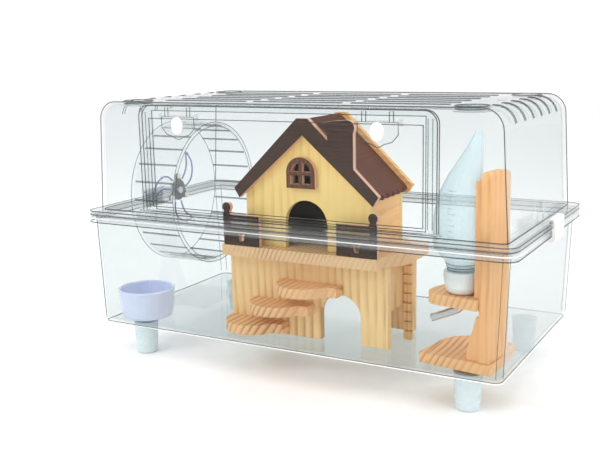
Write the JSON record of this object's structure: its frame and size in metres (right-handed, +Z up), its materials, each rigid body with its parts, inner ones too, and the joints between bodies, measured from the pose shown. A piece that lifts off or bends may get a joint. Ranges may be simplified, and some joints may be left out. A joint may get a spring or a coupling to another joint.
{
  "type": "hamster cage",
  "caption": "Clear stackable small-pet cage: tub with feet, clip-on vented lid with a drop-down door, wheel, wooden house, water bottle on a stand and bowl.",
  "frame": {"origin": "on the surface the cage stands on, below the middle of its footprint", "axes": "+X along the long side towards the bottle stand, -Y out of the door, +Z up"},
  "size_m": [0.49, 0.248, 0.2793],
  "materials": {
    "clear_plastic": "clear, polished",
    "white_plastic": "moulded, semi-gloss",
    "pale_plastic": "moulded, semi-gloss",
    "glazed": "high gloss",
    "grey_plastic": "moulded",
    "steel": "polished",
    "bottle_plastic": "clear with a pale blue tint",
    "pine": "sanded, unpainted",
    "pale_pine": "sanded, unpainted",
    "dark_wood": "stained brown, sanded"
  },
  "bodies": {
    "cage": {"tub": "clear_plastic", "wheel_stand_plate": "clear_plastic", "wheel_stand_base": "clear_plastic", "bottle_cap": "white_plastic", "foot_front_left": "pale_plastic", "foot_front_right": "pale_plastic", "foot_back_left": "pale_plastic", "foot_back_right": "pale_plastic", "wheel_axle": "steel", "wheel_bearing": "steel", "bottle_spout": "steel", "spout_ball": "steel", "bottle_body": "bottle_plastic", "house_front_wall": "pine", "house_back_wall": "pine", "house_left_wall": "pine", "house_right_wall": "pine", "house_platform": "pine", "house_step_1": "pine", "house_step_2": "pine", "house_step_3": "pine", "house_ladder": "pine", "upper_left_wall": "pine", "upper_right_wall": "pine", "gable_board_back": "pine", "stand_base": "pine", "stand_post": "pine", "stand_back_board": "pine", "stand_shelf": "pine", "stand_gusset": "pine", "upper_front_wall": "pale_pine", "upper_back_wall": "pale_pine", "roof_panel_left": "dark_wood", "roof_panel_right": "dark_wood", "gable_board_front": "dark_wood", "window_frame": "dark_wood", "fence_left": "dark_wood", "fence_right": "dark_wood"},
    "lid": {"lid": "clear_plastic", "door_hinge_pin_left": "steel", "door_hinge_pin_right": "steel", "clip_pin_left": "steel", "clip_pin_right": "steel"},
    "door": {"door": "clear_plastic"},
    "latch_left": {"latch_flap_left": "clear_plastic", "latch_button_left": "white_plastic"},
    "latch_right": {"latch_flap_right": "clear_plastic", "latch_button_right": "white_plastic"},
    "clip_left": {"side_clip_left": "white_plastic"},
    "clip_right": {"side_clip_right": "white_plastic"},
    "wheel": {"wheel_drum": "clear_plastic", "wheel_hub_plate": "grey_plastic", "hub_screw_1": "white_plastic", "hub_screw_2": "white_plastic", "hub_screw_3": "white_plastic"},
    "bowl": {"bowl": "glazed"}
  },
  "joints": [
    {"name": "lid_lift", "type": "slide", "parent": "cage", "child": "lid", "axis": [0, 0, 1], "range_m": [0, 0.15]},
    {"name": "door_hinge", "type": "hinge", "parent": "lid", "child": "door", "pos_m": [0, -0.115, 0.166], "axis": [1, 0, 0], "range_deg": [0, 100]},
    {"name": "latch_left_pivot", "type": "hinge", "parent": "door", "child": "latch_left", "pos_m": [-0.11, -0.118, 0.2655], "axis": [1, 0, 0], "range_deg": [0, 8], "stiffness_Nm_per_rad": 0.004},
    {"name": "latch_right_pivot", "type": "hinge", "parent": "door", "child": "latch_right", "pos_m": [0.11, -0.118, 0.2655], "axis": [1, 0, 0], "range_deg": [0, 8], "stiffness_Nm_per_rad": 0.004},
    {"name": "clip_left_pivot", "type": "hinge", "parent": "lid", "child": "clip_left", "pos_m": [-0.241, 0, 0.1655], "axis": [0, 1, 0], "range_deg": [0, 80]},
    {"name": "clip_right_pivot", "type": "hinge", "parent": "lid", "child": "clip_right", "pos_m": [0.241, 0, 0.1655], "axis": [0, -1, 0], "range_deg": [0, 80]},
    {"name": "wheel_spin", "type": "hinge", "parent": "cage", "child": "wheel", "pos_m": [-0.175, -0.008, 0.17], "axis": [1, 0, 0], "continuous": true},
    {"name": "bowl_lift", "type": "slide", "parent": "cage", "child": "bowl", "axis": [0, 0, 1], "range_m": [0, 0.018]}
  ]
}
